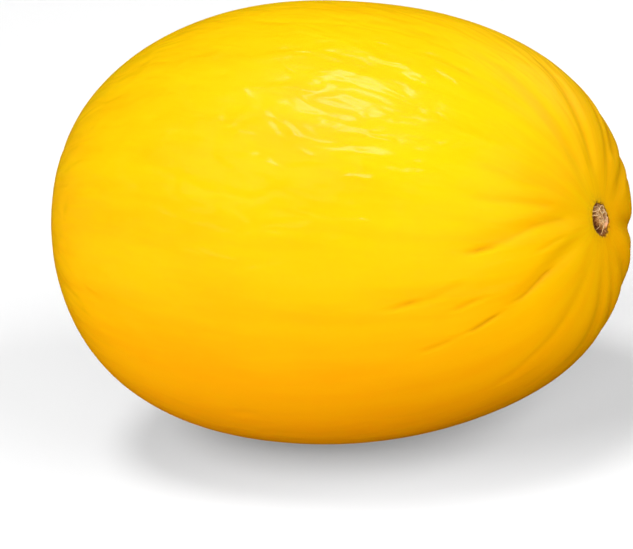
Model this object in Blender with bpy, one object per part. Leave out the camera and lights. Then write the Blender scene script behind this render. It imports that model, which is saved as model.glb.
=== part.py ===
"""A whole yellow melon lying on its side, with the dried stub of its stem in the hollow at one end.

Metres, +Z up. +X runs along the melon towards its stem end. The origin is on the surface that
the melon lies on, under the middle of its bounding box.
"""

import math
from collections import namedtuple

import bmesh
import bpy
import numpy as np
from mathutils import Vector

# Driving dimensions of the fruit
HALF_LENGTH = 0.0916
GIRTH_RADIUS = 0.0700
STEM_BLUNTNESS = 0.648  # the power of the outline's sine: 1 makes an ellipse's end, less makes a blunter one
BLOSSOM_BLUNTNESS = 0.690
TAPER = 0.074  # share by which the girth shrinks towards the stem end and swells towards the other
STEM_END_DROP = 0.0013  # how far the stem end's middle lies below the melon's long axis
LIE_ANGLE = math.radians(3.0)  # how much the stem end lifts as the melon lies
FLAT_SPOT_DEPTH = 0.0020  # how much of the round belly the flat resting spot takes off

# Three faint ribs, one for each seed chamber
RIB_COUNT = 3
RIB_HEIGHT = 0.00035
RIB_ANGLE = math.radians(100)

# The hollow around the stem, and the small scar that the flower left at the other end
STEM_HOLLOW_DEPTH = 0.0006
STEM_HOLLOW_RADIUS = 0.0115
BLOSSOM_SCAR_DEPTH = 0.0006
BLOSSOM_SCAR_RADIUS = 0.0045

# The dried stub and its seat, both oval: a woody core that stands up inside a sunken rim
STUB_HALF_LENGTH = 0.0057
STUB_HALF_WIDTH = 0.0043
STUB_TURN = math.radians(129)
STUB_SUNK = 0.0030
RIM_SUNK = 0.0014
RIM_WIDTH = 0.0013
CORE_PROUD = 0.0009
CORE_ROUNDING = 0.0004
STUB_SIDES = 28
SEAT_GAP = 0.0003
CUTTER_EXTRA = 0.010  # how far the seat's cutter reaches past the skin

# Furrows that run from the stem's hollow along the skin. Angles go round the long axis, from +Y
# over the top. A furrow starts at one angle and drifts to another by the time it fades out. One
# with a depth below zero is a low ridge.
Furrow = namedtuple("Furrow", "start end depth reach")
STEM_FURROWS = (
    Furrow(start=15, end=13, depth=0.0011, reach=0.060),
    Furrow(start=46, end=50, depth=0.0007, reach=0.065),
    Furrow(start=80, end=70, depth=0.0008, reach=0.070),
    Furrow(start=106, end=92, depth=0.0006, reach=0.085),
    Furrow(start=141, end=139, depth=0.0004, reach=0.060),
    Furrow(start=150, end=152, depth=0.0005, reach=0.065),
    Furrow(start=158, end=172, depth=0.0008, reach=0.075),
    Furrow(start=184, end=198.5, depth=0.0009, reach=0.066),
    Furrow(start=222, end=226, depth=0.0003, reach=0.060),
    Furrow(start=256, end=253, depth=0.0004, reach=0.060),
    Furrow(start=278, end=281, depth=0.0004, reach=0.065),
    Furrow(start=301, end=302, depth=0.0005, reach=0.060),
    Furrow(start=314, end=314, depth=-0.0005, reach=0.065),
    Furrow(start=335, end=335, depth=0.0016, reach=0.060),
)
FURROW_HALF_ANGLE = math.radians(4.5)
FURROW_START = 0.007
FURROW_DEEPEST = 0.024

# Shallow, evenly spaced furrows that draw in to the blossom scar
BLOSSOM_FURROWS = 10
BLOSSOM_FURROW_DEPTH = 0.00035
BLOSSOM_FURROW_REACH = 0.045

# How finely the skin is divided
ROWS = 42
COLUMNS = 90
OUTLINE_STEPS = 4001

SKIN_COLOUR = (0.92, 0.56, 0.006, 1.0)
STUB_COLOUR = (0.30, 0.17, 0.07, 1.0)


def clear_scene():
    for old in list(bpy.data.objects):
        bpy.data.objects.remove(old, do_unlink=True)


def material(name, colour, roughness):
    made = bpy.data.materials.new(name)
    made.use_nodes = True
    shader = made.node_tree.nodes["Principled BSDF"]
    shader.inputs["Base Color"].default_value = colour
    shader.inputs["Roughness"].default_value = roughness
    shader.inputs["Metallic"].default_value = 0.0
    made.diffuse_color = colour
    return made


def smooth_step(low, high, value):
    share = np.clip((value - low) / (high - low), 0.0, 1.0)
    return share * share * (3.0 - 2.0 * share)


def meridian():
    """The melon's outline from the stem pole to the blossom pole, at even steps along the skin.

    Each step has its place along the axis, its radius, the skin's outward direction as
    (along, out) and its distances from the two poles.
    """
    turn = np.linspace(0.0, math.pi, OUTLINE_STEPS)
    towards_stem = (1.0 + np.cos(turn)) / 2.0
    bluntness = STEM_BLUNTNESS * towards_stem + BLOSSOM_BLUNTNESS * (1.0 - towards_stem)
    along = HALF_LENGTH * np.cos(turn)
    radius = GIRTH_RADIUS * np.sin(turn).clip(0.0) ** bluntness * (1.0 - TAPER * np.cos(turn))
    walked = np.concatenate([[0.0], np.cumsum(np.hypot(np.diff(along), np.diff(radius)))])
    from_stem = np.linspace(0.0, walked[-1], ROWS + 1)
    along = np.interp(from_stem, walked, along)
    radius = np.interp(from_stem, walked, radius)
    outward = np.stack([np.gradient(radius), -np.gradient(along)])
    outward[:, 0] = (1.0, 0.0)
    outward[:, -1] = (-1.0, 0.0)
    outward /= np.hypot(outward[0], outward[1])
    return along, radius, outward, from_stem, walked[-1] - from_stem


def furrow_profile(angle, middle):
    """1 along a furrow's bottom, falling to 0 at its sides."""
    aside = (angle - middle + math.pi) % (2.0 * math.pi) - math.pi
    return np.exp(-((aside / FURROW_HALF_ANGLE) ** 2))


def stem_furrows(angle, from_stem):
    """How deep the furrows lie at each point of the skin."""
    depth = 0.0
    opening = smooth_step(FURROW_START, FURROW_DEEPEST, from_stem)
    for furrow in STEM_FURROWS:
        drift = smooth_step(FURROW_START, furrow.reach, from_stem)
        middle = np.radians(furrow.start + (furrow.end - furrow.start) * drift)
        fading = 1.0 - smooth_step(FURROW_DEEPEST, furrow.reach, from_stem)
        depth = depth + furrow.depth * opening * fading * furrow_profile(angle, middle)
    return depth


def blossom_furrows(angle, from_blossom):
    opening = smooth_step(BLOSSOM_SCAR_RADIUS, BLOSSOM_FURROW_REACH / 3, from_blossom)
    fading = 1.0 - smooth_step(BLOSSOM_FURROW_REACH / 3, BLOSSOM_FURROW_REACH, from_blossom)
    wave = (1.0 - np.cos(BLOSSOM_FURROWS * angle)) / 2.0
    return BLOSSOM_FURROW_DEPTH * opening * fading * wave


def skin_height(angle, from_stem, from_blossom, radius):
    """How far the skin stands off the plain turned shape."""
    girth = radius / GIRTH_RADIUS
    ribs = RIB_HEIGHT * np.cos(RIB_COUNT * (angle - RIB_ANGLE)) * girth**2
    hollow = STEM_HOLLOW_DEPTH * np.exp(-((from_stem / STEM_HOLLOW_RADIUS) ** 2))
    scar = BLOSSOM_SCAR_DEPTH * np.exp(-((from_blossom / BLOSSOM_SCAR_RADIUS) ** 2))
    furrows = stem_furrows(angle, from_stem) + blossom_furrows(angle, from_blossom)
    return ribs - hollow - scar - furrows


def skin_points():
    """The skin's points in the melon's own axes, one row for each step from pole to pole."""
    along, radius, outward, from_stem, from_blossom = (values[..., None] for values in meridian())
    angle = np.linspace(0.0, 2.0 * math.pi, COLUMNS, endpoint=False)[None, :]
    height = skin_height(angle, from_stem, from_blossom, radius)
    towards_stem = ((1.0 + along / HALF_LENGTH) / 2.0) ** 4
    x = along + outward[0] * height
    out = radius + outward[1] * height
    y = out * np.cos(angle)
    z = out * np.sin(angle) - STEM_END_DROP * towards_stem
    return np.stack([x, y, z], axis=-1)


def up_as_it_lies():
    """The world's up direction, in the melon's own axes."""
    return Vector((math.sin(LIE_ANGLE), 0.0, math.cos(LIE_ANGLE)))


def cut_flat_spot(bm):
    """Takes the lowest slice off the belly and closes the cut with one flat face."""
    up = up_as_it_lies()
    lowest = min(vert.co.dot(up) for vert in bm.verts)
    everything = bm.verts[:] + bm.edges[:] + bm.faces[:]
    bmesh.ops.bisect_plane(
        bm,
        geom=everything,
        plane_co=up * (lowest + FLAT_SPOT_DEPTH),
        plane_no=-up,
        clear_outer=True,
    )
    rim = [edge for edge in bm.edges if edge.is_boundary]
    bmesh.ops.holes_fill(bm, edges=rim, sides=0)


def new_object(name, bm, colour_material):
    bmesh.ops.recalc_face_normals(bm, faces=bm.faces[:])
    mesh = bpy.data.meshes.new(name)
    bm.to_mesh(mesh)
    bm.free()
    mesh.materials.append(colour_material)
    made = bpy.data.objects.new(name, mesh)
    bpy.context.scene.collection.objects.link(made)
    mesh.shade_smooth()
    mesh.set_sharp_from_angle(angle=math.radians(35))
    return made


def make_fruit():
    """The fruit: rows of points joined into a closed skin, with the flat resting spot cut off."""
    bm = bmesh.new()
    points = skin_points()
    stem_pole = bm.verts.new(points[0, 0])
    blossom_pole = bm.verts.new(points[-1, 0])
    rows = [[bm.verts.new(point) for point in row] for row in points[1:-1]]
    for first, second in zip(rows, rows[1:]):
        for i in range(COLUMNS):
            j = (i + 1) % COLUMNS
            bm.faces.new((first[i], first[j], second[j], second[i]))
    for i in range(COLUMNS):
        j = (i + 1) % COLUMNS
        bm.faces.new((stem_pole, rows[0][j], rows[0][i]))
        bm.faces.new((blossom_pole, rows[-1][i], rows[-1][j]))
    cut_flat_spot(bm)
    return new_object("melon_fruit", bm, material("yellow_rind", SKIN_COLOUR, 0.38))


def stem_place():
    """The middle of the stem's hollow: its place along the axis, and its height from the axis."""
    return HALF_LENGTH - STEM_HOLLOW_DEPTH, -STEM_END_DROP


def oval_piece(name, rings, colour_material):
    """A closed piece made of ovals one above another along the melon's axis.

    Each ring has its place along the axis and how far it lies inside the stub's outline.
    """
    bm = bmesh.new()
    turn = np.linspace(0.0, 2.0 * math.pi, STUB_SIDES, endpoint=False)
    rows = []
    for along, inset in rings:
        far = (STUB_HALF_LENGTH - inset) * np.cos(turn)
        aside = (STUB_HALF_WIDTH - inset) * np.sin(turn)
        y = far * math.cos(STUB_TURN) - aside * math.sin(STUB_TURN)
        z = far * math.sin(STUB_TURN) + aside * math.cos(STUB_TURN)
        rows.append([bm.verts.new((along, *place)) for place in zip(y, z)])
    for first, second in zip(rows, rows[1:]):
        for i in range(STUB_SIDES):
            j = (i + 1) % STUB_SIDES
            bm.faces.new((first[i], first[j], second[j], second[i]))
    bm.faces.new(rows[0])
    bm.faces.new(rows[-1])
    return new_object(name, bm, colour_material)


def cut_stem_seat(fruit):
    """Sinks the oval seat of the stub into the fruit's stem end."""
    along, height = stem_place()
    rings = ((along - STUB_SUNK, -SEAT_GAP), (along + CUTTER_EXTRA, -SEAT_GAP))
    cutter = oval_piece("stem_seat_cutter", rings, fruit.data.materials[0])
    cutter.location.z = height
    cutter.hide_render = True
    cutter.display_type = "WIRE"
    cut = fruit.modifiers.new("stem_seat", "BOOLEAN")
    cut.operation = "DIFFERENCE"
    cut.solver = "EXACT"
    cut.object = cutter
    return cutter


def make_stub():
    """The dried stub: a flat oval plug with a sunken rim, and a rounded core in its middle."""
    along, height = stem_place()
    base = along - STUB_SUNK + SEAT_GAP
    rim = along - RIM_SUNK
    top = along + CORE_PROUD
    rings = (
        (base, 0.0),
        (rim, 0.0),
        (rim, RIM_WIDTH),
        (top - CORE_ROUNDING, RIM_WIDTH),
        (top, RIM_WIDTH + 2.0 * CORE_ROUNDING),
    )
    stub = oval_piece("stem_stub", rings, material("dried_stem", STUB_COLOUR, 0.85))
    stub.location.z = height
    return stub


def lay_down(pieces):
    """Hangs the pieces on one empty, tilts it as the melon lies and sets the origin below its middle."""
    axis = bpy.data.objects.new("melon_axis", None)
    bpy.context.scene.collection.objects.link(axis)
    for piece in pieces:
        piece.parent = axis
    axis.rotation_euler = (0.0, -LIE_ANGLE, 0.0)
    bpy.context.view_layer.update()
    solids = [piece for piece in pieces if not piece.hide_render]
    corners = np.array([piece.matrix_world @ vert.co for piece in solids for vert in piece.data.vertices])
    low, high = corners.min(axis=0), corners.max(axis=0)
    axis.location = (-(low[0] + high[0]) / 2.0, -(low[1] + high[1]) / 2.0, -low[2])


def main():
    clear_scene()
    fruit = make_fruit()
    cutter = cut_stem_seat(fruit)
    stub = make_stub()
    lay_down([fruit, cutter, stub])


main()
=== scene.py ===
"""The looks of a whole yellow melon that lies on its side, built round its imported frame.

Metres. Each piece is shaped in the melon's own axes, with X along the melon towards its stem end
and Z up, and is then laid down with the stem end a little raised. Angles round the melon go from
+Y over the top, in degrees, and distances along the skin start at the stem's pole.
"""

import math
from collections import namedtuple

import bpy
import numpy as np
from mathutils import Matrix, Vector


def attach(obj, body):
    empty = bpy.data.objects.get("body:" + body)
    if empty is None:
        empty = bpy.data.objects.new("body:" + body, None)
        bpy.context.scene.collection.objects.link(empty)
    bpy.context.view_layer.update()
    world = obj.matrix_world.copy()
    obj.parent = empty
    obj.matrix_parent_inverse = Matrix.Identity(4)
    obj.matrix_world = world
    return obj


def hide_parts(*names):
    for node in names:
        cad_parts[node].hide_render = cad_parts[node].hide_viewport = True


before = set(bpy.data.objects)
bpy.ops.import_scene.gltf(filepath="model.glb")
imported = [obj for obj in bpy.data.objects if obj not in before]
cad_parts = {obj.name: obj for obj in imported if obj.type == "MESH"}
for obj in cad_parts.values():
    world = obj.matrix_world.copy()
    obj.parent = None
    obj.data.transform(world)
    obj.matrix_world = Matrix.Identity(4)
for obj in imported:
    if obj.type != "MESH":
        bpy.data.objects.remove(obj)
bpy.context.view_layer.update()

# The camera, at the photograph's viewing angle
PHOTO_WIDTH = 633
FOCAL_PIXELS = 2274.9
SENSOR_WIDTH = 36.0
CAMERA_AZIMUTH = 34.0
CAMERA_ELEVATION = 20.0
CAMERA_ROLL = -10.39
CAMERA_DISTANCE = 0.720
AIM_RIGHT = -0.00691
AIM_UP = -0.01656

# The fruit's driving dimensions, as in the frame
HALF_LENGTH = 0.0916
GIRTH_RADIUS = 0.0700
STEM_BLUNTNESS = 0.648
BLOSSOM_BLUNTNESS = 0.690
TAPER = 0.074
STEM_END_DROP = 0.0013
STEM_END_BEND = 4
LIE_ANGLE = 3.0
MELON_MIDDLE = (-0.00008, -0.00018, 0.06861)
RIB_COUNT = 3
RIB_HEIGHT = 0.00035
RIB_ANGLE = 100
STEM_HOLLOW_DEPTH = 0.0006
STEM_HOLLOW_RADIUS = 0.0115
BLOSSOM_SCAR_DEPTH = 0.0006
BLOSSOM_SCAR_RADIUS = 0.0045

# The blossom's scar: a ragged edge with a raised ring on it, and a small button in the middle. The
# widths of the ring and the button are shares of the edge's radius.
SCAR_EDGE = 0.0036
SCAR_RAGGEDNESS = 0.09
SCAR_NOTCHES = 13
SCAR_SEED = 35
SCAR_RING_HEIGHT = 0.00025
SCAR_RING_WIDTH = 0.16
SCAR_BUTTON_HEIGHT = 0.0005
SCAR_BUTTON_WIDTH = 0.3

# Furrows that run from the stem's hollow along the skin, and drift from one angle to another.
# One with a depth below zero is a low ridge.
Furrow = namedtuple("Furrow", "start end depth reach")
STEM_FURROWS = (
    Furrow(start=15, end=13, depth=0.0011, reach=0.060),
    Furrow(start=46, end=50, depth=0.0007, reach=0.065),
    Furrow(start=80, end=70, depth=0.0008, reach=0.070),
    Furrow(start=106, end=92, depth=0.0006, reach=0.085),
    Furrow(start=141, end=139, depth=0.0004, reach=0.060),
    Furrow(start=150, end=152, depth=0.0005, reach=0.065),
    Furrow(start=158, end=172, depth=0.0008, reach=0.075),
    Furrow(start=184, end=198.5, depth=0.0009, reach=0.066),
    Furrow(start=222, end=226, depth=0.0003, reach=0.060),
    Furrow(start=256, end=253, depth=0.0004, reach=0.060),
    Furrow(start=278, end=281, depth=0.0004, reach=0.065),
    Furrow(start=301, end=302, depth=0.0005, reach=0.060),
    Furrow(start=314, end=314, depth=-0.0005, reach=0.065),
    Furrow(start=335, end=335, depth=0.0016, reach=0.060),
)
FURROW_HALF_ANGLE = 4.5
FURROW_HALF_WIDTH = 0.0028
FURROW_START = 0.007
FURROW_DEEPEST = 0.024
FURROW_WANDER = 1.0
FURROW_WANDER_LENGTH = 0.009
BLOSSOM_FURROWS = 10
BLOSSOM_FURROW_DEPTH = 0.00035
BLOSSOM_FURROW_REACH = 0.045

# Sharp creases in the skin: (millimetres from the stem's pole, degrees round the melon) along each
Crease = namedtuple("Crease", "path depth half_width")
CREASES = (
    Crease(((22, 159), (34, 163), (44, 168), (52, 170.5)), 0.00026, 0.0011),
    Crease(((48, 169.6), (50.5, 170.3)), 0.00030, 0.0007),
    Crease(((31, 190), (35, 191.5), (41, 194)), 0.00044, 0.0006),
    Crease(((52, 196.9), (57, 197.8)), 0.00054, 0.0006),
    Crease(((66, 199.1), (72, 199.6)), 0.00025, 0.0008),
    Crease(((55, 188.0), (59, 188.8)), 0.00032, 0.0008),
    Crease(((58, 181), (66, 183), (72, 183.6)), 0.00018, 0.0012),
    Crease(((73, 183.7), (77, 184.1)), 0.00032, 0.0008),
    Crease(((28, 150), (38, 151.5), (50, 151)), 0.00020, 0.0010),
    Crease(((33, 141), (48, 140)), 0.00018, 0.0011),
    Crease(((20, 103), (40, 97), (66, 93)), 0.00018, 0.0016),
    Crease(((46, 107), (60, 105), (76, 104)), 0.00018, 0.0012),
    Crease(((18, 79), (34, 74), (52, 71)), 0.00020, 0.0016),
    Crease(((18, 88), (36, 87)), 0.00014, 0.0014),
    Crease(((26, 36), (42, 36), (58, 37)), 0.00040, 0.0026),
    Crease(((24, 173), (31, 175)), 0.00020, 0.0008),
    Crease(((98, 98), (132, 99)), 0.00012, 0.0012),
    Crease(((34, 223), (50, 225), (58, 226)), 0.00014, 0.0014),
    Crease(((25, 262), (48, 260)), 0.00012, 0.0014),
    Crease(((30, 280), (56, 281)), 0.00016, 0.0014),
    Crease(((26, 302), (44, 301)), 0.00016, 0.0012),
    Crease(((28, 2), (50, 4), (66, 4)), 0.00030, 0.0012),
    Crease(((216, 22), (236, 25), (251, 27)), 0.00034, 0.0012),
    Crease(((224, 81), (246, 84)), 0.00026, 0.0010),
    Crease(((212, 128), (232, 126), (250, 121)), 0.00030, 0.0014),
    Crease(((228, 171), (252, 176)), 0.00026, 0.0009),
    Crease(((214, 236), (234, 233), (250, 229)), 0.00034, 0.0013),
    Crease(((222, 298), (247, 302)), 0.00028, 0.0011),
    Crease(((218, 340), (238, 343), (252, 348)), 0.00022, 0.0009),
)
CREASE_FADE = 0.0045
CREASE_WANDER = 0.35
CREASE_WANDER_LENGTH = 0.0032

# Dimples: distance from the stem's pole in millimetres and degrees round the melon
DIMPLES = ((84, 94), (97, 92.5), (118, 61), (141, 214), (73, 318), (160, 20), (109, 266))
DIMPLE_DEPTH = 0.00028
DIMPLE_RADIUS = 0.0022
DIMPLE_STRETCH = 1.6

# Random unevenness of the skin: height, swells along the melon and swells round it. It starts at
# one distance from each pole and is full at another.
Swell = namedtuple("Swell", "seed height along around")
SWELLS = (
    Swell(seed=11, height=0.00022, along=7, around=9),
    Swell(seed=12, height=0.00010, along=9, around=22),
    Swell(seed=13, height=0.00004, along=16, around=44),
    Swell(seed=14, height=0.000008, along=36, around=110),
)
UNEVEN_START = 0.006
UNEVEN_FULL = 0.030

# How far the swells bend aside, as a share of a full turn
BEND = 0.012
BEND_SEED = 10
BENDS_ALONG = 9
BENDS_AROUND = 12

# Fine puckers that crowd round the stem: they rise over the first two distances from its pole and
# die down over the last two. Along the melon they are squeezed together.
PUCKER_HEIGHT = 0.00006
PUCKER_SEED = 21
PUCKERS_ALONG = 9
PUCKERS_AROUND = 26
PUCKER_SQUEEZE = 3.0
PUCKER_START = 0.006
PUCKER_FULL = 0.011
PUCKER_FADE = 0.012
PUCKER_END = 0.026

# The oval seat of the dried stub, with a ragged edge. Its wall ends at a share of its radius.
SEAT_DEPTH = 0.0030
SEAT_HALF_LENGTH = 0.0060
SEAT_HALF_WIDTH = 0.0045
SEAT_TURN = 129
SEAT_WALL_FOOT = 0.86
SEAT_RAGGEDNESS = 0.05
SEAT_NOTCHES = 15
SEAT_FINE_NOTCHES = 41
SEAT_SEED = 31

# The worn lip round the seat: its middle is at a multiple of the seat's radius
LIP_REACH = 1.10
LIP_HEIGHT = 0.00016
LIP_WIDTH = 0.0009

# How finely the skin is divided: rows of faces are long in general, and shorter near the stem, at
# the seat's lip, near the blossom's end and at its scar, each as far as its reach
OUTLINE_STEPS = 4001
ROWS = 160
COLUMNS = 620
PLAIN_ROW = 0.0016
STEM_ROW = 0.0005
STEM_ROWS_REACH = 0.060
LIP_ROW = 0.00016
LIP_ROWS_REACH = 0.0014
BLOSSOM_ROW_CUT = 0.45
BLOSSOM_ROWS_REACH = 0.035
SCAR_ROW = 0.00032
SCAR_ROWS_REACH = 0.006

# How softly the underside is pressed flat against what the melon rests on
FLATTENING = 0.0003

# The skin's grain: how long and how wide one unit of its flow is, and how far it runs round the
# melon for each metre that it runs along it
GRAIN_LENGTH = 0.030
GRAIN_WIDTH = 0.006
GRAIN_SLANT = 0.15

# The depths at which a furrow and a crease take their full painted shade, where along the skin a
# furrow's painted shade starts and is full, and how the two add up
FULL_FURROW = 0.001
FULL_CREASE = 0.0006
FURROW_SHADE_START = 0.010
FURROW_SHADE_FULL = 0.045
CREASE_IN_GROOVE = 0.6
DEEPEST_GROOVE = 1.5
FAINTEST_CREASE = 0.25

# Where the wrinkles fade out towards the stem
NEAR_STEM_REACH = 0.045

# Where the deeper colour of the stem's end is strongest, and how far along the skin it reaches
WARM_ANGLE = 335
WARM_REACH = 0.055

# Stains at the seat and at the scar; the seat's dark brown is partly painted shade in its recess. A
# pair says between which multiples of the radius a stain ends, and a width is a share of the radius.
SEAT_STAIN_AND_SHADE = (0.93, 1.03)
LIP_STAIN_WIDTH = 0.09
HALO_WIDTH = 0.45
HALO_ANGLE = 135
HALO_MEAN = 0.55
HALO_SWING = 0.45
SCAR_STAIN = (0.95, 1.10)

# The height up to which the pale mark of the ground shows, and those between which painted shade makes
# the rind a deeper orange below and leaves it lighter above
GROUND_MARK_HEIGHT = 0.010
LOW_SIDE = 0.012
HIGH_SIDE = 0.085

# Colours of the rind
YELLOW = (0.82, 0.488, 0.0008, 1.0)
DEEP_YELLOW = (0.80, 0.385, 0.0006, 1.0)
# Painted shade: a deeper orange in the furrows and creases
FURROW_SHADE_ORANGE = (0.72, 0.29, 0.0006, 1.0)
# Painted shade: a deeper orange low down
LOW_SHADE_ORANGE = (0.82, 0.33, 0.0006, 1.0)
PALE_YELLOW = (0.84, 0.54, 0.001, 1.0)
GROUND_CREAM = (0.80, 0.58, 0.17, 1.0)
SCAR_TAN = (0.50, 0.31, 0.11, 1.0)
SCAR_BROWN = (0.13, 0.055, 0.014, 1.0)
OLIVE = (0.46, 0.27, 0.006, 1.0)
LIP_BROWN = (0.22, 0.09, 0.012, 1.0)
# Painted shade: brown in the creases
CREASE_SHADE_BROWN = (0.42, 0.17, 0.002, 1.0)
# The seat's dark brown: partly the dried tissue's own colour, partly painted shade in its recess
SEAT_BROWN_AND_SHADE = (0.10, 0.035, 0.008, 1.0)

# Colours of the dried stub
# Partly painted shade: the darkest bark colour, deep in the recess and in the slits
DARK_BARK_AND_SHADE = (0.040, 0.012, 0.004, 1.0)
BROWN_BARK = (0.17, 0.060, 0.018, 1.0)
TAN_WOOD = (0.40, 0.21, 0.085, 1.0)
CREAM_WOOD = (0.66, 0.48, 0.27, 1.0)
PINK_WOOD = (0.60, 0.30, 0.22, 1.0)
# Partly painted highlight: the peach on the swelling of the core
PEACH_AND_HIGHLIGHT_WOOD = (0.86, 0.40, 0.22, 1.0)


def smooth_step(low, high, value):
    """0 below low, 1 above high, and a smooth rise in between."""
    share = np.clip((value - low) / (high - low), 0.0, 1.0)
    return share * share * (3.0 - 2.0 * share)


def bell(distance, width):
    """1 in the middle, about a third at the width, and next to nothing past twice the width."""
    return np.exp(-((distance / width) ** 2))


def smooth_noise(seed, along, around, cells_along, cells_around):
    """Random swells between -1 and 1. Both places run from 0 to 1, and around joins up with itself."""
    values = np.random.default_rng(seed).uniform(-1.0, 1.0, (cells_along + 2, cells_around))
    place = np.clip(along, 0.0, 1.0) * cells_along
    turn = (around % 1.0) * cells_around
    row = np.floor(place).astype(int)
    column = np.floor(turn).astype(int)
    down = smooth_step(0.0, 1.0, place - row)
    across = smooth_step(0.0, 1.0, turn - column)
    column = column % cells_around
    following = (column + 1) % cells_around
    first = values[row, column] * (1.0 - across) + values[row, following] * across
    second = values[row + 1, column] * (1.0 - across) + values[row + 1, following] * across
    return first * (1.0 - down) + second * down


def ring_noise(seed, angle, notches):
    """Random notches between -1 and 1 round a ring."""
    return smooth_noise(seed, angle * 0.0, angle / 360.0, 1, notches)


def angle_between(angle, middle):
    """How far an angle is from another, in degrees from -180 to 180."""
    return (angle - middle + 180.0) % 360.0 - 180.0


# The melon's place

def laid_down():
    """Takes a point from the melon's own axes to the row frame."""
    return Matrix.Translation(MELON_MIDDLE) @ Matrix.Rotation(math.radians(-LIE_ANGLE), 4, "Y")


def as_points(matrix, points):
    """An array of points, moved by a matrix."""
    turned = points @ np.array(matrix.to_3x3()).T
    return turned + np.array(matrix.translation)


# The skin's shape

def row_places(total):
    """Distances from the stem's pole, close together near it, at the seat's lip and at the scar."""
    reach = np.linspace(0.0, total, OUTLINE_STEPS)
    lip = bell(reach - (SEAT_HALF_LENGTH + SEAT_HALF_WIDTH) / 2, LIP_ROWS_REACH)
    scar = np.exp(-(((total - reach) / SCAR_ROWS_REACH) ** 4))
    spacing = STEM_ROW + (PLAIN_ROW - STEM_ROW) * smooth_step(0.0, STEM_ROWS_REACH, reach)
    blossom_end = smooth_step(total - BLOSSOM_ROWS_REACH, total, reach)
    spacing = spacing * (1.0 - BLOSSOM_ROW_CUT * blossom_end)
    spacing = spacing * (1.0 - lip) + LIP_ROW * lip
    spacing = spacing * (1.0 - scar) + SCAR_ROW * scar
    walked = np.concatenate([[0.0], np.cumsum((1.0 / spacing)[:-1])])
    return np.interp(np.linspace(0.0, walked[-1], ROWS + 1), walked, reach)


def meridian():
    """The melon's outline from the stem pole to the blossom pole.

    Each step has its place along the axis, its radius, the skin's outward direction as
    (along, out) and its distances from the two poles.
    """
    turn = np.linspace(0.0, math.pi, OUTLINE_STEPS)
    towards_stem = (1.0 + np.cos(turn)) / 2.0
    bluntness = STEM_BLUNTNESS * towards_stem + BLOSSOM_BLUNTNESS * (1.0 - towards_stem)
    along = HALF_LENGTH * np.cos(turn)
    radius = GIRTH_RADIUS * np.sin(turn).clip(0.0) ** bluntness * (1.0 - TAPER * np.cos(turn))
    walked = np.concatenate([[0.0], np.cumsum(np.hypot(np.diff(along), np.diff(radius)))])
    from_stem = row_places(walked[-1])
    along = np.interp(from_stem, walked, along)
    radius = np.interp(from_stem, walked, radius)
    outward = np.stack([np.gradient(radius, from_stem), -np.gradient(along, from_stem)])
    outward[:, 0] = (1.0, 0.0)
    outward[:, -1] = (-1.0, 0.0)
    outward /= np.hypot(outward[0], outward[1])
    return along, radius, outward, from_stem, walked[-1] - from_stem


def stem_furrows(angle, from_stem, radius):
    """How deep the soft furrows lie at each point of the skin."""
    depth = 0.0
    width = np.maximum(FURROW_HALF_ANGLE, np.degrees(FURROW_HALF_WIDTH / np.maximum(radius, 0.001)))
    opening = smooth_step(FURROW_START, FURROW_DEEPEST, from_stem)
    for furrow in STEM_FURROWS:
        drift = smooth_step(FURROW_START, furrow.reach, from_stem)
        wander = FURROW_WANDER * np.sin(from_stem / FURROW_WANDER_LENGTH + furrow.start) * opening
        middle = furrow.start + (furrow.end - furrow.start) * drift + wander
        fading = 1.0 - smooth_step(FURROW_DEEPEST, furrow.reach, from_stem)
        depth = depth + furrow.depth * opening * fading * bell(angle_between(angle, middle), width)
    return depth


def creases(angle, from_stem, radius):
    """How deep the sharp creases lie."""
    depth = 0.0
    for crease in CREASES:
        places, angles = np.array(crease.path, float).T
        places = places / 1000.0
        wander = CREASE_WANDER * np.sin(from_stem / CREASE_WANDER_LENGTH + angles[0])
        middle = np.interp(from_stem, places, angles) + wander
        aside = np.radians(angle_between(angle, middle)) * radius
        starting = smooth_step(places[0] - CREASE_FADE, places[0], from_stem)
        ending = 1.0 - smooth_step(places[-1], places[-1] + CREASE_FADE, from_stem)
        depth = depth + crease.depth * starting * ending * bell(aside, crease.half_width)
    return depth


def blossom_furrows(angle, from_blossom):
    """How deep the gentle, even furrows at the blossom's end lie."""
    opening = smooth_step(BLOSSOM_SCAR_RADIUS, BLOSSOM_FURROW_REACH / 3, from_blossom)
    fading = 1.0 - smooth_step(BLOSSOM_FURROW_REACH / 3, BLOSSOM_FURROW_REACH, from_blossom)
    wave = (1.0 - np.cos(np.radians(BLOSSOM_FURROWS * angle))) / 2.0
    return BLOSSOM_FURROW_DEPTH * opening * fading * wave


def dimples(angle, from_stem, radius):
    """How deep the dimples lie. They are longer than they are wide."""
    depth = 0.0
    for place, middle in DIMPLES:
        aside = np.radians(angle_between(angle, middle)) * radius
        away = np.hypot((from_stem - place / 1000.0) / DIMPLE_STRETCH, aside)
        depth = depth + DIMPLE_DEPTH * bell(away, DIMPLE_RADIUS)
    return depth


def unevenness(angle, from_stem, from_blossom):
    """Random swells and lengthwise wrinkles, and the puckers that crowd round the stem."""
    along = from_stem / (from_stem + from_blossom)
    bend = BEND * smooth_noise(BEND_SEED, along, angle / 360.0, BENDS_ALONG, BENDS_AROUND)
    around = angle / 360.0 + bend
    height = 0.0
    for swell in SWELLS:
        swells = smooth_noise(swell.seed, along, around, swell.along, swell.around)
        height = height + swell.height * swells
    stem_side = smooth_step(UNEVEN_START, UNEVEN_FULL, from_stem)
    blossom_side = smooth_step(UNEVEN_START, UNEVEN_FULL, from_blossom)
    rising = smooth_step(PUCKER_START, PUCKER_FULL, from_stem)
    near = rising * (1.0 - smooth_step(PUCKER_FADE, PUCKER_END, from_stem))
    squeezed = along * PUCKER_SQUEEZE
    puckers = smooth_noise(PUCKER_SEED, squeezed, around, PUCKERS_ALONG, PUCKERS_AROUND)
    return height * (stem_side * blossom_side) + PUCKER_HEIGHT * near * puckers


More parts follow.
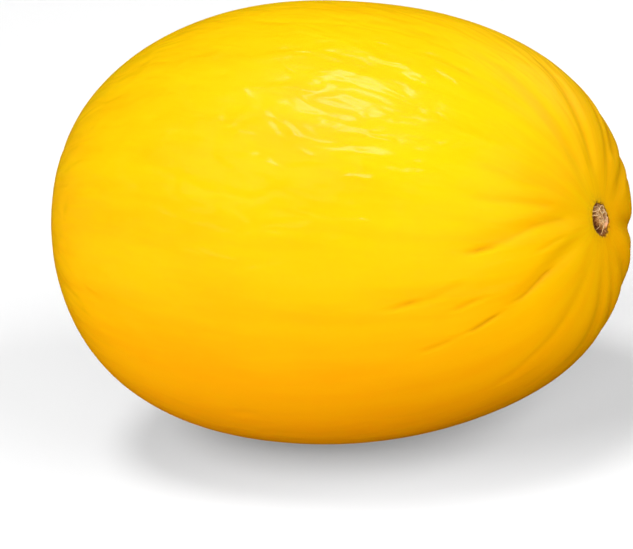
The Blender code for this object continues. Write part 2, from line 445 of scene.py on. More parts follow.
def seat_radius(angle):
    """The radius of the seat's ragged oval at an angle."""
    turn = np.radians(angle - SEAT_TURN)
    oval = 1.0 / np.hypot(np.cos(turn) / SEAT_HALF_LENGTH, np.sin(turn) / SEAT_HALF_WIDTH)
    ragged = ring_noise(SEAT_SEED, angle, SEAT_NOTCHES)
    ragged = ragged + 0.5 * ring_noise(SEAT_SEED + 1, angle, SEAT_FINE_NOTCHES)
    return oval * (1.0 + SEAT_RAGGEDNESS * ragged)


def scar_reach(angle, from_blossom):
    """Distance from the blossom's pole as a share of the scar's ragged edge."""
    ragged = ring_noise(SCAR_SEED, angle, SCAR_NOTCHES)
    return from_blossom / (SCAR_EDGE * (1.0 + SCAR_RAGGEDNESS * ragged))


def scar_ring(angle, from_blossom):
    """The raised, corky ring at the edge of the blossom's scar."""
    return bell(scar_reach(angle, from_blossom) - 1.0, SCAR_RING_WIDTH)


def skin_height(angle, from_stem, from_blossom, radius):
    """How far the skin stands off the plain turned shape."""
    girth = radius / GIRTH_RADIUS
    ribs = RIB_HEIGHT * np.cos(np.radians(RIB_COUNT * (angle - RIB_ANGLE))) * girth**2
    hollow = STEM_HOLLOW_DEPTH * bell(from_stem, STEM_HOLLOW_RADIUS)
    scar = BLOSSOM_SCAR_DEPTH * bell(from_blossom, BLOSSOM_SCAR_RADIUS)
    ring = SCAR_RING_HEIGHT * scar_ring(angle, from_blossom)
    button = SCAR_BUTTON_HEIGHT * np.exp(-((from_blossom / (SCAR_BUTTON_WIDTH * SCAR_EDGE)) ** 4))
    soft = stem_furrows(angle, from_stem, radius) + blossom_furrows(angle, from_blossom)
    sharp = creases(angle, from_stem, radius) + dimples(angle, from_stem, radius)
    reach = from_stem / seat_radius(angle)
    seat = SEAT_DEPTH * (1.0 - smooth_step(SEAT_WALL_FOOT, 1.0, reach))
    lip = LIP_HEIGHT * bell((reach - LIP_REACH) * SEAT_HALF_WIDTH, LIP_WIDTH)
    uneven = unevenness(angle, from_stem, from_blossom)
    return ribs - hollow - scar + ring + button - soft - sharp - seat + lip + uneven


def flattened(height):
    """Presses what would lie below the surface that the melon rests on flat against it."""
    return (height + np.sqrt(height**2 + FLATTENING**2)) / 2.0


def skin_points(angle, along, radius, outward, height):
    """The skin's points in the row frame, before the underside is pressed flat."""
    towards_stem = ((1.0 + along / HALF_LENGTH) / 2.0) ** STEM_END_BEND
    turn = np.radians(angle)
    out = radius + outward[1] * height
    own = np.stack(
        [
            along + outward[0] * height,
            out * np.cos(turn),
            out * np.sin(turn) - STEM_END_DROP * towards_stem,
        ],
        axis=-1,
    )
    return as_points(laid_down(), own)


def skin_flow(angle, from_stem):
    """Each point's place in the grain: the first value runs along the melon, the others round it."""
    slanted = np.radians(angle) + GRAIN_SLANT * from_stem / GIRTH_RADIUS
    girth = GIRTH_RADIUS / GRAIN_WIDTH
    lengthwise = np.broadcast_to(from_stem / GRAIN_LENGTH, slanted.shape)
    return np.stack([lengthwise, girth * np.cos(slanted), girth * np.sin(slanted)], axis=-1)


def warm_side(angle):
    """How much deeper the colour of the stem's end is: most on its +Y side, and least opposite."""
    return 0.5 + 0.5 * np.cos(np.radians(angle - WARM_ANGLE))


def halo_side(angle):
    """How strong the stain round the seat is: strongest up and towards -Y."""
    return HALO_MEAN + HALO_SWING * np.cos(np.radians(angle - HALO_ANGLE))


def skin_marks(angle, from_stem, from_blossom, radius, level):
    """Marks from 0 to about 1 that say where the rind is furrowed, stained or scarred, and where
    painted shade deepens its colour low down, in the furrows, in the creases and in the seat.
    """
    seat = from_stem / seat_radius(angle)
    scar = scar_reach(angle, from_blossom)
    deep = stem_furrows(angle, from_stem, radius) / FULL_FURROW
    furrowed = deep * smooth_step(FURROW_SHADE_START, FURROW_SHADE_FULL, from_stem)
    sharp = creases(angle, from_stem, radius) / FULL_CREASE
    return {
        # Painted shade: a deeper orange in the furrows and creases
        "groove_shade": np.clip(furrowed + CREASE_IN_GROOVE * sharp, 0.0, DEEPEST_GROOVE),
        # Painted shade: brown in the creases
        "crease": np.clip(sharp - FAINTEST_CREASE, 0.0, 1.0),
        "near_stem": np.broadcast_to(bell(from_stem, NEAR_STEM_REACH), level.shape),
        "warm_end": bell(from_stem, WARM_REACH) * warm_side(angle),
        # Dark brown in the seat: partly the dried tissue's own colour, partly painted shade in its
        # recess
        "seat": 1.0 - smooth_step(*SEAT_STAIN_AND_SHADE, seat),
        "lip": bell(seat - 1.0, LIP_STAIN_WIDTH),
        "halo": bell(seat - 1.0, HALO_WIDTH) * halo_side(angle),
        "scar": 1.0 - smooth_step(*SCAR_STAIN, scar),
        "scar_ring": scar_ring(angle, from_blossom),
        "ground": 1.0 - smooth_step(0.0, GROUND_MARK_HEIGHT, level),
        # Painted shade: how much deeper orange the rind is made low down
        "low": 1.0 - smooth_step(LOW_SIDE, HIGH_SIDE, level),
    }


def skin():
    """The skin's points, its flow and its marks, with one row for each step from pole to pole."""
    along, radius, outward, from_stem, from_blossom = (values[..., None] for values in meridian())
    angle = np.linspace(0.0, 360.0, COLUMNS, endpoint=False)[None, :]
    height = skin_height(angle, from_stem, from_blossom, radius)
    points = skin_points(angle, along, radius, outward, height)
    marks = skin_marks(angle, from_stem, from_blossom, radius, points[..., 2])
    points[..., 2] = flattened(points[..., 2])
    return points, skin_flow(angle, from_stem), marks


def sheet_faces(rows, columns):
    """Faces of a closed skin: a pole, rows of points, and the other pole."""
    faces = []
    last = 1 + rows * columns
    for i in range(columns):
        j = (i + 1) % columns
        faces.append((0, 1 + i, 1 + j))
        for row in range(rows - 1):
            first = 1 + row * columns
            second = first + columns
            faces.append((first + i, second + i, second + j, first + j))
        bottom = 1 + (rows - 1) * columns
        faces.append((last, bottom + j, bottom + i))
    return faces


def pole_to_pole(values):
    """One value for each point of a closed skin, from rows whose first and last are the poles."""
    kind = values.shape[2:]
    middle = values[1:-1].reshape((-1,) + kind)
    return np.concatenate([values[0, :1], middle, values[-1, :1]])


def smooth_object(name, points, faces, material):
    """A smoothly shaded mesh with one material."""
    mesh = bpy.data.meshes.new(name)
    mesh.from_pydata(points.tolist(), [], faces)
    mesh.update()
    mesh.shade_smooth()
    mesh.materials.append(material)
    made = bpy.data.objects.new(name, mesh)
    bpy.context.scene.collection.objects.link(made)
    return made


def add_mark(made, name, values):
    """Stores a number for each point of a piece, for its material to read."""
    mark = made.data.attributes.new(name, "FLOAT", "POINT")
    mark.data.foreach_set("value", np.ascontiguousarray(values, np.float32))


def add_flow(made, vectors):
    """Stores each point's place in the grain, for the rind's material to read."""
    flow = made.data.attributes.new("flow", "FLOAT_VECTOR", "POINT")
    flow.data.foreach_set("vector", np.ascontiguousarray(vectors, np.float32).ravel())


def make_rind(material):
    """The rind, which throws no yellow light on what is round it."""
    points, flow, marks = skin()
    faces = sheet_faces(points.shape[0] - 2, COLUMNS)
    rind = smooth_object("rind", pole_to_pole(points), faces, material)
    rind.visible_diffuse = False
    add_flow(rind, pole_to_pole(flow))
    for name, values in marks.items():
        add_mark(rind, name, pole_to_pole(values))
    return rind


# The dried stub

STUB_ROWS = 56
STUB_COLUMNS = 144
STUB_FIT = 0.955
STUB_BASE = -0.0027
RECESS_LEVEL = -0.0013
RIM_LEVEL = -0.0004
CORE_MIDDLE = (0.0009, 0.0004)
CORE_HALF_LENGTH = 0.0046
CORE_HALF_WIDTH = 0.0031
CORE_TURN = 113
CORE_LEVEL = 0.0010
CORE_RAGGEDNESS = 0.16
CORE_SHOULDER = 0.72
CORE_FOOT = 1.02
CORE_FALL = 0.0005

# Random roughness of the stub: seed, swells from its middle to its edge and swells round it
Roughness = namedtuple("Roughness", "seed outward around")
ROUGH = Roughness(seed=41, outward=7, around=22)
STRANDS = Roughness(seed=42, outward=3, around=64)
GRIT = Roughness(seed=43, outward=26, around=70)

# How far each of them stands out in the recess and on the core. In the recess the strands grow
# stronger at the fringe, which rises between two shares of the stub's radius.
RECESS_ROUGH = 0.00022
RECESS_STRANDS = 0.00020
RECESS_STRANDS_LEAST = 0.4
FRINGE_START = 0.80
FRINGE_FULL = 0.97
CORE_ROUGH = 0.00036
CORE_STRANDS = 0.00022
CORE_GRIT = 0.00016

# Slits and swellings on the core, in millimetres. A slit has a lift below zero.
Lump = namedtuple("Lump", "across up half_width half_height lift")
LUMP_STEEPNESS = 2.4
LUMPS = (
    Lump(0.4, 2.8, 0.70, 0.85, -3.4),
    Lump(1.1, 0.3, 0.70, 1.05, -3.6),
    Lump(-0.6, 0.7, 0.35, 1.10, -0.8),
    Lump(1.2, -2.3, 0.80, 0.75, 0.55),
    Lump(-0.5, 3.7, 0.70, 0.70, 0.35),
    Lump(2.4, -0.9, 0.60, 1.20, 0.30),
)

# Patches of colour on the stub's top, in millimetres: places as (across, up), and radii. The peach
# patch on the swelling is partly painted highlight.
PEACH_AND_HIGHLIGHT_PLACE = (1.2, -2.3)
PEACH_AND_HIGHLIGHT_RADIUS = 0.80
PINK_PLACE = (1.9, -1.1)
PINK_RADIUS = 1.5

# Loose fibres: both ends as (across, up, out), and the radius, in millimetres
Fibre = namedtuple("Fibre", "start end radius")
FIBRES = (
    Fibre((-1.1, 3.4, 0.7), (-4.0, 3.9, -0.1), 0.24),
    Fibre((-1.5, 2.0, 0.6), (-4.5, 2.8, -0.2), 0.22),
    Fibre((-0.2, -1.2, 1.0), (-1.5, -4.1, 0.1), 0.18),
    Fibre((-0.6, -0.4, 0.4), (-2.6, -2.4, -0.6), 0.12),
    Fibre((2.9, -1.6, 0.5), (4.0, -3.2, -0.1), 0.13),
    Fibre((-0.5, 4.3, 0.5), (-2.4, 4.9, -0.1), 0.12),
)

# Fibres that curl round the slits: middle as (across, up, out), half width, half height and radius,
# in millimetres
Loop = namedtuple("Loop", "middle half_width half_height radius")
LOOPS = (
    Loop((0.4, 2.8, 0.95), 1.05, 1.25, 0.21),
    Loop((1.1, 0.3, 1.00), 1.05, 1.45, 0.20),
)

# How a fibre is divided, the level that its colour is read at, how it bows out and wavers, in
# millimetres, and how it thins towards its tips
FIBRE_SIDES = 10
FIBRE_STEPS = 15
FIBRE_LEVEL = 0.8
FIBRE_BOW = 0.35
FIBRE_WAVER = 0.12
FIBRE_TIP = 0.35
FIBRE_TIP_LENGTH = 0.04
FIBRE_THINNING = 0.6

# How a loop's width, its place outwards and its radius vary on the way round
LOOP_STEPS = 33
LOOP_WAVER = 0.08
LOOP_BOW = 0.15
LOOP_UNEVENNESS = 0.2

# A direction that no fibre follows, from which a tube's sides are measured
TUBE_REFERENCE = (1.0, 0.0, 0.2)


def core_reach(across, up):
    """Distance from the core's middle as a share of its oval outline."""
    aside = across - CORE_MIDDLE[0]
    above = up - CORE_MIDDLE[1]
    turn = math.radians(CORE_TURN)
    along = (aside * math.cos(turn) + above * math.sin(turn)) / CORE_HALF_LENGTH
    beside = (above * math.cos(turn) - aside * math.sin(turn)) / CORE_HALF_WIDTH
    return np.hypot(along, beside)


def lump_height(lump, across, up):
    """How far a lump lifts the core at a place."""
    beside = (across * 1000 - lump.across) / lump.half_width
    above = (up * 1000 - lump.up) / lump.half_height
    return 0.001 * lump.lift * np.exp(-(np.hypot(beside, above) ** LUMP_STEEPNESS))


def stub_height(across, up, share, angle):
    """How far the stub's top stands out of the seat's mouth."""
    rough, strands, grit = (
        smooth_noise(kind.seed, share, angle / 360.0, kind.outward, kind.around)
        for kind in (ROUGH, STRANDS, GRIT)
    )
    fringe = smooth_step(FRINGE_START, FRINGE_FULL, share)
    recess = RECESS_LEVEL + (RIM_LEVEL - RECESS_LEVEL) * fringe + RECESS_ROUGH * rough
    recess = recess + RECESS_STRANDS * strands * (RECESS_STRANDS_LEAST + fringe)
    edge = core_reach(across, up) * (1.0 + CORE_RAGGEDNESS * rough)
    crown = CORE_LEVEL - CORE_FALL * edge**2
    crown = crown + CORE_ROUGH * rough + CORE_STRANDS * strands + CORE_GRIT * grit
    for lump in LUMPS:
        crown = crown + lump_height(lump, across, up)
    core = 1.0 - smooth_step(CORE_SHOULDER, CORE_FOOT, edge)
    return recess * (1.0 - core) + crown * core


def stem_place():
    """The middle of the seat's mouth in the melon's own axes."""
    return HALF_LENGTH - STEM_HOLLOW_DEPTH, -STEM_END_DROP


def seat_point(across, up, out):
    """A point in the seat, given across, up and out from the middle of its mouth."""
    across, up, out = np.broadcast_arrays(across, up, out)
    along, level = stem_place()
    own = np.stack([along + out, across, level + up], axis=-1)
    return as_points(laid_down(), own)


def patch(across, up, place, radius):
    """A round patch of colour on the stub's top, as a mark for each of its points."""
    top = bell(np.hypot(across * 1000 - place[0], up * 1000 - place[1]), radius)
    below = np.zeros_like(top[:1])
    return pole_to_pole(np.concatenate([top, below, below]))


def make_stub(material):
    """The stub: a woody, fibrous core that stands up out of a dark, ragged recess."""
    shares = np.linspace(0.0, 1.0, STUB_ROWS)[:, None]
    angles = np.linspace(0.0, 360.0, STUB_COLUMNS, endpoint=False)[None, :]
    share, angle = np.broadcast_arrays(shares, angles)
    radius = share * STUB_FIT * seat_radius(angle)
    across = radius * np.cos(np.radians(angle))
    up = radius * np.sin(np.radians(angle))
    out = stub_height(across, up, share, angle)
    top = seat_point(across, up, out)
    wall = seat_point(across[-1:], up[-1:], STUB_BASE)
    foot = seat_point(np.zeros_like(across[:1]), 0.0, STUB_BASE)
    points = np.concatenate([top, wall, foot])
    faces = sheet_faces(points.shape[0] - 2, STUB_COLUMNS)
    stub = smooth_object("stem_core", pole_to_pole(points), faces, material)
    level = np.concatenate([out, out[-1:], out[-1:]])
    add_mark(stub, "level", pole_to_pole(level) * 1000.0)
    add_mark(stub, "peach_and_highlight", patch(across, up, PEACH_AND_HIGHLIGHT_PLACE, PEACH_AND_HIGHLIGHT_RADIUS))
    add_mark(stub, "pinkish", patch(across, up, PINK_PLACE, PINK_RADIUS))
    return stub


def tube(path, radii, sides):
    """Points and faces of a closed tube that follows a path, with a radius for each of its points."""
    path = np.array(path)
    ahead = np.gradient(path, axis=0)
    ahead /= np.linalg.norm(ahead, axis=1)[:, None]
    side = np.cross(ahead, TUBE_REFERENCE)
    side /= np.linalg.norm(side, axis=1)[:, None]
    over = np.cross(side, ahead)
    turn = np.linspace(0.0, 2.0 * math.pi, sides, endpoint=False)
    ring = side[:, None] * np.cos(turn)[None, :, None] + over[:, None] * np.sin(turn)[None, :, None]
    rows = path[:, None] + ring * np.array(radii)[:, None, None]
    points = np.concatenate([path[:1], rows.reshape(-1, 3), path[-1:]])
    return points, sheet_faces(len(path), sides)


def fibre_path(fibre, number):
    """A fibre that bows out and wavers a little, and its radius, thinner towards both ends."""
    steps = np.linspace(0.0, 1.0, FIBRE_STEPS)
    start, end = np.array(fibre.start), np.array(fibre.end)
    path = start + (end - start) * steps[:, None]
    path[:, 2] += FIBRE_BOW * np.sin(math.pi * steps)
    path[:, 0] += FIBRE_WAVER * np.sin(2.0 * math.pi * steps + number)
    path[:, 1] += FIBRE_WAVER * np.cos(2.0 * math.pi * steps + 2 * number)
    inner = np.clip(steps, FIBRE_TIP_LENGTH, 1.0 - FIBRE_TIP_LENGTH)
    fullness = np.sin(math.pi * inner) ** FIBRE_THINNING
    return path, fibre.radius * (FIBRE_TIP + (1.0 - FIBRE_TIP) * fullness)


def loop_path(loop):
    """A fibre that runs round a slit and ends where it starts, and its radius."""
    turn = np.linspace(0.0, 2.0 * math.pi, LOOP_STEPS)
    across = loop.middle[0] + loop.half_width * np.cos(turn) * (1.0 + LOOP_WAVER * np.sin(3.0 * turn))
    up = loop.middle[1] + loop.half_height * np.sin(turn)
    out = loop.middle[2] + LOOP_BOW * np.sin(2.0 * turn)
    radii = loop.radius * (1.0 + LOOP_UNEVENNESS * np.sin(5.0 * turn))
    return np.stack([across, up, out], axis=-1), radii


def make_fibres(material):
    """Loose fibres that bridge the recess, and others that curl round the slits in the core."""
    paths = [fibre_path(fibre, number) for number, fibre in enumerate(FIBRES)]
    paths += [loop_path(loop) for loop in LOOPS]
    points = []
    faces = []
    for path, radii in paths:
        made, walls = tube(seat_point(*(path.T / 1000)), radii / 1000, FIBRE_SIDES)
        before = sum(map(len, points))
        faces += [tuple(corner + before for corner in face) for face in walls]
        points.append(made)
    every = np.concatenate(points)
    fibres = smooth_object("stem_fibres", every, faces, material)
    add_mark(fibres, "level", np.full(len(every), FIBRE_LEVEL))
    add_mark(fibres, "peach_and_highlight", np.zeros(len(every)))
    add_mark(fibres, "pinkish", np.zeros(len(every)))
    return fibres


# Materials

def new_material(name):
    made = bpy.data.materials.new(name)
    made.use_nodes = True
    return made, made.node_tree, made.node_tree.nodes["Principled BSDF"]


def put(tree, socket, value):
    """Gives a socket another node's output, or a plain value."""
    if isinstance(value, bpy.types.NodeSocket):
        tree.links.new(value, socket)
    else:
        socket.default_value = value


def mark_value(tree, name):
    node = tree.nodes.new("ShaderNodeAttribute")
    node.attribute_name = name
    return node.outputs["Fac"]


def flow_vector(tree, stretch):
    """The skin's flow, with its grain stretched by a factor for each direction."""
    node = tree.nodes.new("ShaderNodeAttribute")
    node.attribute_name = "flow"
    mapping = tree.nodes.new("ShaderNodeMapping")
    tree.links.new(node.outputs["Vector"], mapping.inputs["Vector"])
    mapping.inputs["Scale"].default_value = stretch
    return mapping.outputs["Vector"]


def object_vector(tree):
    return tree.nodes.new("ShaderNodeTexCoord").outputs["Object"]


def noise(tree, vector, scale, detail=2.0, distortion=0.0):
    node = tree.nodes.new("ShaderNodeTexNoise")
    put(tree, node.inputs["Vector"], vector)
    node.inputs["Scale"].default_value = scale
    node.inputs["Detail"].default_value = detail
    node.inputs["Distortion"].default_value = distortion
    return node.outputs["Fac"]


def ranged(tree, value, low, high, new_low=0.0, new_high=1.0):
    """Maps a value's range from low and high to new ones, with a smooth start and end."""
    node = tree.nodes.new("ShaderNodeMapRange")
    node.interpolation_type = "SMOOTHSTEP"
    put(tree, node.inputs["Value"], value)
    node.inputs["From Min"].default_value = low
    node.inputs["From Max"].default_value = high
    node.inputs["To Min"].default_value = new_low
    node.inputs["To Max"].default_value = new_high
    return node.outputs["Result"]


def maths(tree, operation, first, second):
    node = tree.nodes.new("ShaderNodeMath")
    node.operation = operation
    put(tree, node.inputs[0], first)
    put(tree, node.inputs[1], second)
    return node.outputs["Value"]


def mixed(tree, share, first, second):
    node = tree.nodes.new("ShaderNodeMix")
    node.data_type = "RGBA"
    put(tree, node.inputs["Factor"], share)
    put(tree, node.inputs["A"], first)
    put(tree, node.inputs["B"], second)
    return node.outputs["Result"]


def stain_and_shade(tree, colour, amount, share, stain):
    """Mixes a stain, a painted shade or a painted highlight into a colour: as much as the amount says,
    and at most a share.
    """
    return mixed(tree, maths(tree, "MULTIPLY", amount, share), colour, stain)


def bump(tree, height, distance, under=None):
    node = tree.nodes.new("ShaderNodeBump")
    node.inputs["Strength"].default_value = 1.0
    node.inputs["Distance"].default_value = distance
    put(tree, node.inputs["Height"], height)
    if under is not None:
        tree.links.new(under, node.inputs["Normal"])
    return node.outputs["Normal"]


# How high the wrinkles stand in the flesh under the skin, and in the waxy film that shines on it
SOFT_WRINKLE_HEIGHT = 0.00014
WAX_WRINKLE_HEIGHT = 0.0021
PORE_HEIGHT = 0.00002

# Scales of the noises: in units of the grain for patches, streaks and wrinkles, else per metre
PATCH_SCALE = 0.55
STREAK_SCALE = 1.9
WRINKLE_STRETCH = (2.2, 0.98, 0.98)
FRAY_SCALE = 900.0
PORE_SCALE = 1100.0
STRAND_SCALE = 2200.0
BLOTCH_SCALE = 620.0
SHADE_SCALE = 3.0

# The largest share of each stain and painted shade in the rind's colour: those of the low side, the
# grooves and the creases are painted shade
PATCH_SHARE = 0.45
STREAK_SHARE = 0.22
LOW_SHADE_SHARE = 0.52
GROOVE_SHADE_SHARE = 0.42
GROUND_SHARE = 0.7
CREASE_SHADE_SHARE = 0.6


def scar_and_seat_colours(tree, colour):
    """Frayed stains round the stub's seat, cork on the blossom's scar, and the seat's dark brown,
    which is partly painted shade in its recess.
    """
    frayed = ranged(tree, noise(tree, object_vector(tree), FRAY_SCALE, 3.0), 0.36, 0.60)
    halo_share = ranged(tree, frayed, 0.0, 1.0, 0.25, 0.70)
    colour = stain_and_shade(tree, colour, mark_value(tree, "halo"), halo_share, OLIVE)
    colour = stain_and_shade(tree, colour, mark_value(tree, "lip"), frayed, LIP_BROWN)
    cork = mixed(tree, frayed, SCAR_BROWN, SCAR_TAN)
    colour = mixed(tree, mark_value(tree, "scar"), colour, cork)
    ring_share = ranged(tree, frayed, 0.0, 1.0, 0.8, 0.3)
    colour = stain_and_shade(tree, colour, mark_value(tree, "scar_ring"), ring_share, SCAR_BROWN)
    # The seat's dark brown: partly the dried tissue's own colour, partly painted shade in its recess
    return mixed(tree, mark_value(tree, "seat"), colour, SEAT_BROWN_AND_SHADE)


def rind_colour(tree, even, streaks):
    """Yellow in patches and streaks and deeper towards the stem, with painted shade that makes it a
    deeper orange low down and in the furrows, and browner in the creases.
    """
    patches = ranged(tree, noise(tree, even, PATCH_SCALE, 2.0), 0.35, 0.70)
    colour = stain_and_shade(tree, YELLOW, patches, PATCH_SHARE, DEEP_YELLOW)
    colour = stain_and_shade(tree, colour, streaks, STREAK_SHARE, PALE_YELLOW)
    colour = mixed(tree, mark_value(tree, "warm_end"), colour, DEEP_YELLOW)
    # Painted shade: a deeper orange low down
    colour = stain_and_shade(tree, colour, mark_value(tree, "low"), LOW_SHADE_SHARE, LOW_SHADE_ORANGE)
    # Painted shade: a deeper orange in the furrows and creases
    colour = stain_and_shade(tree, colour, mark_value(tree, "groove_shade"), GROOVE_SHADE_SHARE, FURROW_SHADE_ORANGE)
    colour = stain_and_shade(tree, colour, mark_value(tree, "ground"), GROUND_SHARE, GROUND_CREAM)
    # Painted shade: brown in the creases
    colour = stain_and_shade(tree, colour, mark_value(tree, "crease"), CREASE_SHADE_SHARE, CREASE_SHADE_BROWN)
    return scar_and_seat_colours(tree, colour)


def wrinkle(tree, shader):
    """Lengthwise wrinkles, mostly in the waxy coat, that fade out towards the stem and low down."""
    wrinkles = noise(tree, flow_vector(tree, WRINKLE_STRETCH), 1.0, 1.2, 0.5)
    away = ranged(tree, mark_value(tree, "near_stem"), 0.15, 0.65, 1.0, 0.10)
    upper = ranged(tree, mark_value(tree, "low"), 0.0, 0.6, 1.0, 0.2)
    wrinkles = maths(tree, "MULTIPLY", wrinkles, maths(tree, "MULTIPLY", away, upper))
    pores = noise(tree, object_vector(tree), PORE_SCALE, 1.5)
    glossy = bump(tree, pores, PORE_HEIGHT, bump(tree, wrinkles, WAX_WRINKLE_HEIGHT))
    put(tree, shader.inputs["Normal"], bump(tree, wrinkles, SOFT_WRINKLE_HEIGHT))
    put(tree, shader.inputs["Coat Normal"], glossy)


def rind_material():
    """Waxy yellow rind with a fine lengthwise grain, under a thin coat that makes the highlight."""
    material, tree, shader = new_material("melon_rind")
    even = flow_vector(tree, (1.0, 1.0, 1.0))
    streaks = ranged(tree, noise(tree, even, STREAK_SCALE, 3.0, 0.5), 0.40, 0.72)
    put(tree, shader.inputs["Base Color"], rind_colour(tree, even, streaks))
    put(tree, shader.inputs["Roughness"], ranged(tree, streaks, 0.0, 1.0, 0.42, 0.50))
    shader.inputs["Specular IOR Level"].default_value = 0.06
    shader.inputs["Coat Weight"].default_value = 0.40
    shader.inputs["Coat Roughness"].default_value = 0.245
    shader.inputs["Coat IOR"].default_value = 1.42
    shader.inputs["Subsurface Weight"].default_value = 0.20
    shader.inputs["Subsurface Radius"].default_value = (1.0, 0.45, 0.05)
    shader.inputs["Subsurface Scale"].default_value = 0.004
    wrinkle(tree, shader)
    return material


# The levels, in millimetres out of the seat's mouth, between which the stub's colours change; the
# darkening lower down is partly painted shade in the recess
BARK_LEVELS = (-1.9, -0.9)
WOOD_LEVELS = (-0.9, 0.0)
CREAM_LEVELS = (0.1, 1.0)
PEACH_AND_HIGHLIGHT_SHARE = 0.9
STRAND_HEIGHT = 0.00012


def stub_material():
    """Dry wood fibres: dark in the recess, partly as painted shade, tan to cream on the core, pinkish
    in places, and peach on a swelling, partly as painted highlight.
    """
    material, tree, shader = new_material("dried_stem")
    place = object_vector(tree)
    strands = noise(tree, place, STRAND_SCALE, 3.0, 0.6)
    lifted = ranged(tree, strands, 0.32, 0.66, -0.7, 0.35)
    level = maths(tree, "ADD", mark_value(tree, "level"), lifted)
    # Darker the lower a point lies: partly dark bark, partly painted shade in the recess and in the
    # slits of the core
    colour = mixed(tree, ranged(tree, level, *BARK_LEVELS), DARK_BARK_AND_SHADE, BROWN_BARK)
    colour = mixed(tree, ranged(tree, level, *WOOD_LEVELS), colour, TAN_WOOD)
    colour = mixed(tree, ranged(tree, level, *CREAM_LEVELS), colour, CREAM_WOOD)
    pink_share = ranged(tree, noise(tree, place, BLOTCH_SCALE, 2.0), 0.40, 0.60, 0.2, 0.9)
    colour = stain_and_shade(tree, colour, mark_value(tree, "pinkish"), pink_share, PINK_WOOD)
    # The peach patch on the swelling: partly its own colour, partly painted highlight
    colour = stain_and_shade(tree, colour, mark_value(tree, "peach_and_highlight"), PEACH_AND_HIGHLIGHT_SHARE, PEACH_AND_HIGHLIGHT_WOOD)
    put(tree, shader.inputs["Base Color"], colour)
    shader.inputs["Roughness"].default_value = 0.82
    shader.inputs["Specular IOR Level"].default_value = 0.25
    put(tree, shader.inputs["Normal"], bump(tree, strands, STRAND_HEIGHT))
    return material


FLOOR_SHADE = (0.81, 0.81, 0.81, 1.0)
FLOOR_TINT = (0.83, 0.83, 0.83, 1.0)


def floor_material():
    """A plain pale floor with the faintest unevenness."""
    material, tree, shader = new_material("pale_floor")
    shade = noise(tree, object_vector(tree), SHADE_SCALE, 2.0)
    put(tree, shader.inputs["Base Color"], mixed(tree, shade, FLOOR_SHADE, FLOOR_TINT))
    shader.inputs["Roughness"].default_value = 0.7
    shader.inputs["Specular IOR Level"].default_value = 0.1
    return material


# The studio

FLOOR_SIZE = 5.0

# The sky's strengths, and the heights between which it is palest, with a soft edge
SKY_STRENGTH = 0.08
HORIZON_STRENGTH = 0.95
HORIZON_TOP = 0.07
HORIZON_BOTTOM = -0.04
HORIZON_BLEND = 0.03
WHITE = (1.0, 1.0, 1.0, 1.0)

# Light off the ground: its strengths from two sides, and where each of them dies down
GROUND_FRONT = 2.0
GROUND_LEFT = 0.8
GROUND_EDGES = (-0.7, -0.1)
GROUND_LIGHT = (1.0, 0.66, 0.12, 1.0)

# Lamps round the melon, all at one distance. Only one that shines makes a highlight.
Softbox = namedtuple("Softbox", "name azimuth elevation size power shines")
SOFTBOX_DISTANCE = 4.8
SOFTBOXES = (
    Softbox("overhead", -38, 81, (2.2, 1.5), 90, True),
    Softbox("front", 34, 25, (3.2, 2.2), 86, False),
    Softbox("left", -30, 44, (4.0, 3.4), 140, False),
    Softbox("right", 82, 30, (4.0, 3.4), 168, False),
    Softbox("back", 161, 26, (3.6, 2.8), 70, False),
)


def direction_to(azimuth, elevation):
    """The direction from the melon to something round it. Azimuth 0 is at -Y, and 90 is at +X."""
    turn, rise = math.radians(azimuth), math.radians(elevation)
    return Vector((math.sin(turn) * math.cos(rise), -math.cos(turn) * math.cos(rise), math.sin(rise)))


def make_floor():
    """A floor that catches the shadow but lights nothing."""
    bpy.ops.mesh.primitive_plane_add(size=FLOOR_SIZE)
    floor = bpy.context.object
    floor.name = "floor"
    floor.data.materials.append(floor_material())
    floor.visible_diffuse = False
    floor.visible_glossy = False


def make_softbox(plan):
    """A soft oval lamp that faces the melon."""
    lamp = bpy.data.lights.new(plan.name, "AREA")
    lamp.shape = "ELLIPSE"
    lamp.size, lamp.size_y = plan.size
    lamp.energy = plan.power
    box = bpy.data.objects.new(plan.name, lamp)
    box.visible_glossy = plan.shines
    bpy.context.scene.collection.objects.link(box)
    towards = direction_to(plan.azimuth, plan.elevation)
    box.location = Vector(MELON_MIDDLE) + towards * SOFTBOX_DISTANCE
    box.rotation_mode = "QUATERNION"
    box.rotation_quaternion = (-towards).to_track_quat("-Z", "Y")


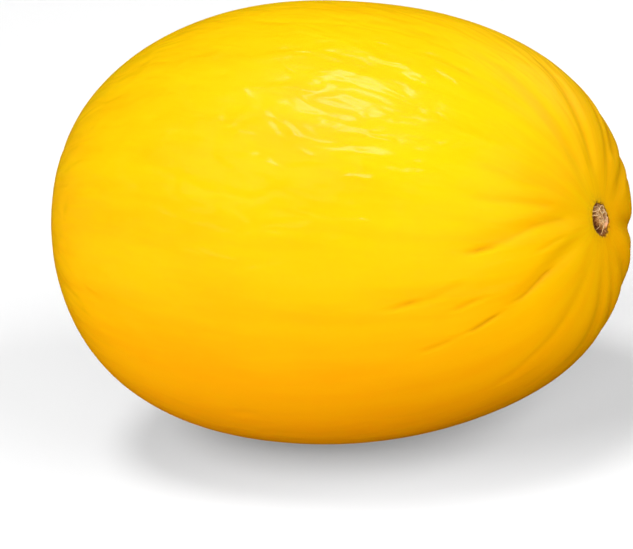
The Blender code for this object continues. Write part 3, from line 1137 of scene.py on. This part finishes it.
def light_sky():
    """Pale light from above, paler still along the horizon, and warm light off the ground."""
    world = bpy.data.worlds.new("studio")
    bpy.context.scene.world = world
    world.use_nodes = True
    world.cycles_visibility.glossy = False
    tree = world.node_tree
    towards = tree.nodes.new("ShaderNodeTexCoord").outputs["Generated"]
    parts = tree.nodes.new("ShaderNodeSeparateXYZ")
    tree.links.new(towards, parts.inputs["Vector"])
    height = parts.outputs["Z"]
    sky_start = HORIZON_TOP + HORIZON_BLEND
    sky = ranged(tree, height, HORIZON_TOP, sky_start, HORIZON_STRENGTH, SKY_STRENGTH)
    from_front = ranged(tree, parts.outputs["Y"], *GROUND_EDGES, GROUND_FRONT, 0.0)
    from_left = ranged(tree, parts.outputs["X"], *GROUND_EDGES, GROUND_LEFT, 0.0)
    ground = ranged(tree, height, HORIZON_BOTTOM - HORIZON_BLEND, HORIZON_BOTTOM, 1.0, 0.0)
    above = maths(tree, "MULTIPLY", sky, maths(tree, "SUBTRACT", 1.0, ground))
    below = maths(tree, "MULTIPLY", maths(tree, "ADD", from_front, from_left), ground)
    background = tree.nodes["Background"]
    put(tree, background.inputs["Color"], mixed(tree, ground, WHITE, GROUND_LIGHT))
    put(tree, background.inputs["Strength"], maths(tree, "ADD", above, below))


def make_camera():
    """The camera, rolled about its own view and aimed a little to one side of the melon's middle."""
    turn = math.radians(CAMERA_AZIMUTH)
    roll = math.radians(CAMERA_ROLL)
    back = direction_to(CAMERA_AZIMUTH, CAMERA_ELEVATION)
    level_right = Vector((math.cos(turn), math.sin(turn), 0.0))
    level_up = back.cross(level_right)
    right = level_right * math.cos(roll) + level_up * math.sin(roll)
    up = level_up * math.cos(roll) - level_right * math.sin(roll)
    lens = bpy.data.cameras.new("camera")
    lens.sensor_fit = "HORIZONTAL"
    lens.sensor_width = SENSOR_WIDTH
    lens.lens = FOCAL_PIXELS / PHOTO_WIDTH * SENSOR_WIDTH
    camera = bpy.data.objects.new("camera", lens)
    bpy.context.scene.collection.objects.link(camera)
    place = Vector(MELON_MIDDLE) + right * AIM_RIGHT + up * AIM_UP + back * CAMERA_DISTANCE
    axes = Matrix((right, up, back)).transposed().to_4x4()
    camera.matrix_world = Matrix.Translation(place) @ axes
    bpy.context.scene.camera = camera


def declare(piece, node):
    """Says which body a piece rides on, and hides the imported part of the node that it stands for."""
    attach(piece, "root")
    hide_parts(node)


def main():
    make_camera()
    make_floor()
    light_sky()
    for plan in SOFTBOXES:
        make_softbox(plan)
    bpy.context.scene.view_settings.view_transform = "Standard"
    bark = stub_material()
    declare(make_rind(rind_material()), "melon_fruit")
    declare(make_stub(bark), "stem_stub")
    declare(make_fibres(bark), "stem_stub")


main()
